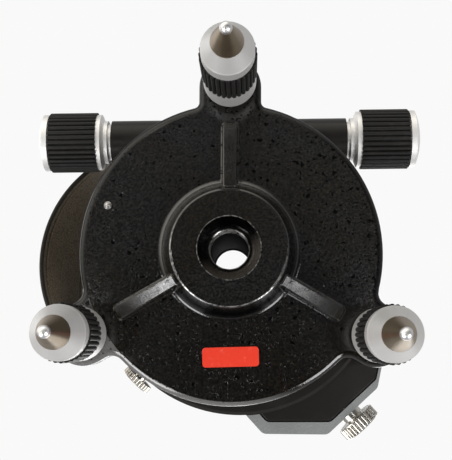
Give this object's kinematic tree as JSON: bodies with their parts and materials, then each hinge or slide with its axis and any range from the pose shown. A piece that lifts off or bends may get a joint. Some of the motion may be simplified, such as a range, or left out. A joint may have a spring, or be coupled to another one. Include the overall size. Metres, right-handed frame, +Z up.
{
  "type": "laser level",
  "caption": "Rotating laser level on a levelling base with foot screws, a worm-driven head with side knobs, a battery box, a hand strap and a glass lantern.",
  "frame": {"origin": "on the vertical axis where the tripod thread begins, just inside the boss under the base", "axes": "+Z up along the vertical axis, -Y towards the front foot and the drive tube, +X along the drive tube"},
  "size_m": [0.1482, 0.1381, 0.1936],
  "materials": {
    "black_enamel": "gloss stove enamel over a pitted casting",
    "grey_enamel": "fine hammered grey enamel",
    "dark_steel": "blackened steel",
    "steel": "turned steel",
    "satin_aluminium": "satin clear anodised",
    "black_rubber": "moulded with straight ribs",
    "brass": "turned",
    "nickel": "nickel plate",
    "leather": "brown-black hide with a dark cut edge",
    "label": "red-orange film",
    "clear_glass": "polished",
    "vial_fluid": "yellow-green fluid under glass",
    "black_plastic": "moulded",
    "red_plastic": "moulded",
    "lamp": "clear green lens",
    "board": "fibreglass board"
  },
  "bodies": {
    "base": {"base_casting": "black_enamel", "thread_bush": "dark_steel", "index_pin": "steel", "blank_label": "label", "foot_bushes": "brass", "spindle": "dark_steel", "spindle_screws": "steel", "spindle_nut": "dark_steel", "clutch_spring": "steel", "clutch_nut": "steel"},
    "wheel": {"worm_wheel": "brass"},
    "point_front": {"foot_point_front": "steel"},
    "knob_front": {"foot_screw_front": "satin_aluminium", "foot_grip_front": "black_rubber"},
    "point_right": {"foot_point_right": "steel"},
    "knob_right": {"foot_screw_right": "satin_aluminium", "foot_grip_right": "black_rubber"},
    "point_left": {"foot_point_left": "steel"},
    "knob_left": {"foot_screw_left": "satin_aluminium", "foot_grip_left": "black_rubber"},
    "circle": {"circle_ring": "dark_steel"},
    "head": {"drum_housing": "black_enamel", "thrust_washer": "brass", "axis_bushes": "brass", "worm_bushes": "brass", "chassis_plate": "black_enamel", "top_housing": "grey_enamel", "housing_screws": "steel", "battery_box": "black_enamel", "battery_cells": "satin_aluminium", "hand_strap": "leather", "strap_lugs": "nickel", "lantern_base": "grey_enamel", "lantern_glass": "clear_glass", "lantern_cap": "grey_enamel", "bearing_housing": "satin_aluminium", "rotor_bearings": "steel", "motor": "steel", "drive_belt": "black_rubber", "laser_module": "brass", "status_lamp": "lamp", "circuit_board": "board", "vial_holder": "black_plastic", "vial_glass": "vial_fluid"},
    "drive": {"worm_shaft": "steel", "knob_core_left": "satin_aluminium", "knob_core_right": "satin_aluminium", "knob_grip_left": "black_rubber", "knob_grip_right": "black_rubber"},
    "lid": {"battery_lid": "grey_enamel"},
    "lid_screw": {"thumb_screw": "nickel"},
    "clamp": {"clamp_screw": "nickel"},
    "rotor": {"rotor_shaft": "steel", "rotor_head": "satin_aluminium", "penta_prism": "clear_glass", "rotor_pulley": "satin_aluminium"},
    "motor_spindle": {"motor_pulley": "steel"},
    "power": {"power_button": "red_plastic"},
    "speed": {"speed_button": "black_plastic"}
  },
  "joints": [
    {"name": "foot_slide_front", "type": "slide", "parent": "base", "child": "point_front", "axis": [0, 0, 1], "range_m": [-0.008, 0.0045]},
    {"name": "foot_turn_front", "type": "hinge", "parent": "point_front", "child": "knob_front", "pos_m": [0, -0.059, 0], "axis": [0, 0, 1], "range_deg": [-2880, 1620]},
    {"name": "foot_slide_right", "type": "slide", "parent": "base", "child": "point_right", "axis": [0, 0, 1], "range_m": [-0.008, 0.0045]},
    {"name": "foot_turn_right", "type": "hinge", "parent": "point_right", "child": "knob_right", "pos_m": [0.0511, 0.0295, 0], "axis": [0, 0, 1], "range_deg": [-2880, 1620]},
    {"name": "foot_slide_left", "type": "slide", "parent": "base", "child": "point_left", "axis": [0, 0, 1], "range_m": [-0.008, 0.0045]},
    {"name": "foot_turn_left", "type": "hinge", "parent": "point_left", "child": "knob_left", "pos_m": [-0.0511, 0.0295, 0], "axis": [0, 0, 1], "range_deg": [-2880, 1620]},
    {"name": "circle_turn", "type": "hinge", "parent": "base", "child": "circle", "pos_m": [0, 0, 0.0187], "axis": [0, 0, 1], "continuous": true},
    {"name": "clutch_turn", "type": "hinge", "parent": "base", "child": "wheel", "pos_m": [0, 0, 0.0315], "axis": [0, 0, 1], "continuous": true},
    {"name": "head_turn", "type": "hinge", "parent": "wheel", "child": "head", "pos_m": [0, 0, 0.0315], "axis": [0, 0, 1], "continuous": true},
    {"name": "drive_turn", "type": "hinge", "parent": "head", "child": "drive", "pos_m": [-0.00058, -0.0447, 0.0315], "axis": [0.9999, -0.0129, 0], "continuous": true},
    {"name": "rotor_spin", "type": "hinge", "parent": "head", "child": "rotor", "pos_m": [0, 0.037, 0.0757], "axis": [0, 0, 1], "continuous": true},
    {"name": "motor_spin", "type": "hinge", "parent": "head", "child": "motor_spindle", "pos_m": [0.025, 0.016, 0.0557], "axis": [0, 0, 1], "continuous": true},
    {"name": "lid_slide", "type": "slide", "parent": "head", "child": "lid", "axis": [0.6794, 0.7337, 0], "range_m": [0, 0.03]},
    {"name": "thumb_screw_turn", "type": "hinge", "parent": "lid", "child": "lid_screw", "pos_m": [0.03915, 0.05202, 0.0325], "axis": [0.6794, 0.7337, 0], "range_deg": [0, 1440]},
    {"name": "clamp_turn", "type": "hinge", "parent": "head", "child": "clamp", "pos_m": [-0.03137, 0.04263, 0.0325], "axis": [-0.6934, 0.7206, 0], "range_deg": [-180, 0]},
    {"name": "power_press", "type": "slide", "parent": "head", "child": "power", "axis": [0, 0, -1], "range_m": [0, 0.0012], "stiffness_N_per_m": 700, "springref_m": -0.0004},
    {"name": "speed_press", "type": "slide", "parent": "head", "child": "speed", "axis": [0, 0, -1], "range_m": [0, 0.0012], "stiffness_N_per_m": 700, "springref_m": -0.0004}
  ],
  "couplings": [
    {"joint": "foot_turn_front", "follows": "foot_slide_front", "rad_per_m": 6283.2},
    {"joint": "foot_turn_right", "follows": "foot_slide_right", "rad_per_m": 6283.2},
    {"joint": "foot_turn_left", "follows": "foot_slide_left", "rad_per_m": 6283.2},
    {"joint": "head_turn", "follows": "drive_turn", "ratio": 0.012346},
    {"joint": "motor_spin", "follows": "rotor_spin", "ratio": 1.8}
  ]
}
